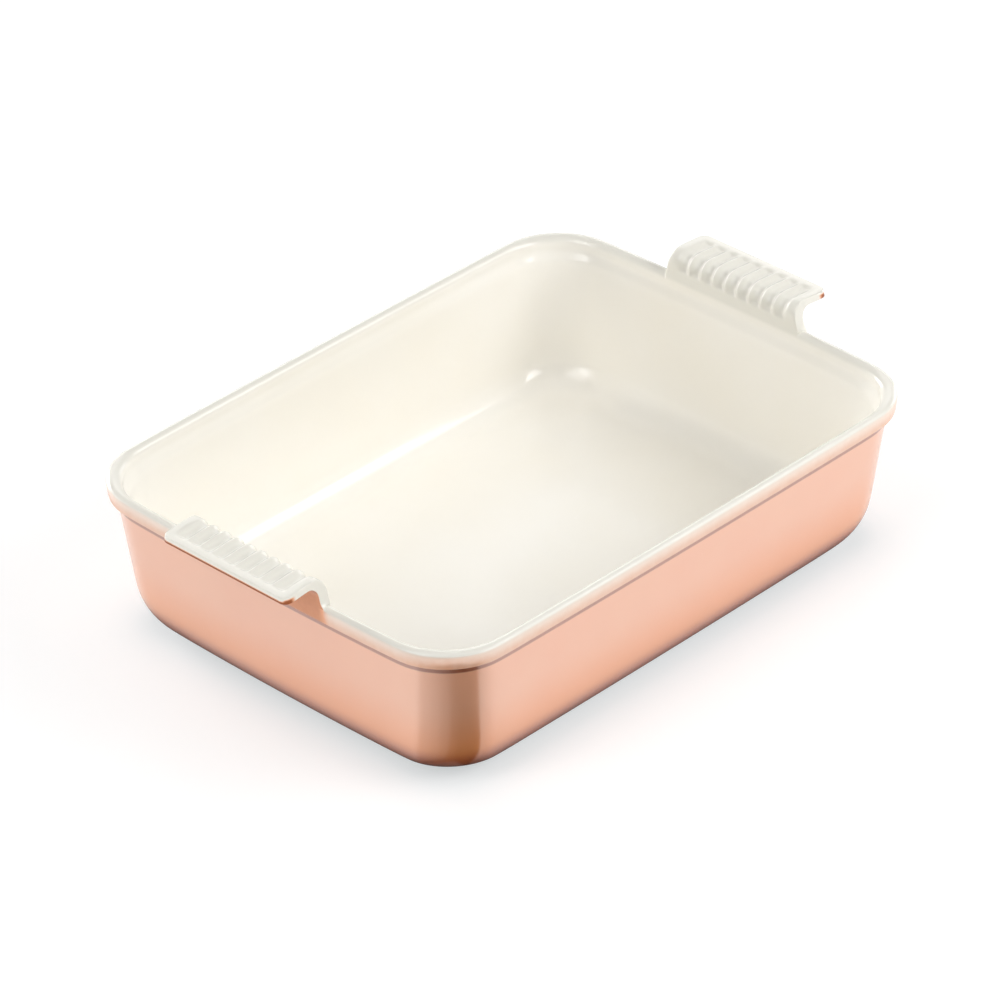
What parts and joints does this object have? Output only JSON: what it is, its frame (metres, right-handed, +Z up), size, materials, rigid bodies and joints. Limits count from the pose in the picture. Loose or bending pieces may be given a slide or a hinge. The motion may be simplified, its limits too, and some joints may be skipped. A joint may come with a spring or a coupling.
{
  "type": "lasagna dish",
  "caption": "Rectangular stoneware baking dish with tapered walls, a thick rim band, a bare foot ring and a fluted lug handle on each short side.",
  "frame": {"origin": "centre of the dish in plan, on the surface that its foot ring rests on", "axes": "+X along the dish's length towards the right handle, +Y across its width, +Z up"},
  "size_m": [0.3626, 0.241, 0.0953],
  "materials": {
    "stoneware": "bare fired clay, matt and slightly sandy",
    "cream_glaze": "glossy warm cream glaze",
    "peach_glaze": "satin peach glaze that deepens towards the base"
  },
  "bodies": {
    "root": {"stoneware_body": "stoneware", "inner_glaze": "cream_glaze", "right_handle": "cream_glaze", "left_handle": "cream_glaze", "outer_glaze": "peach_glaze", "base_glaze": "peach_glaze"}
  },
  "joints": []
}
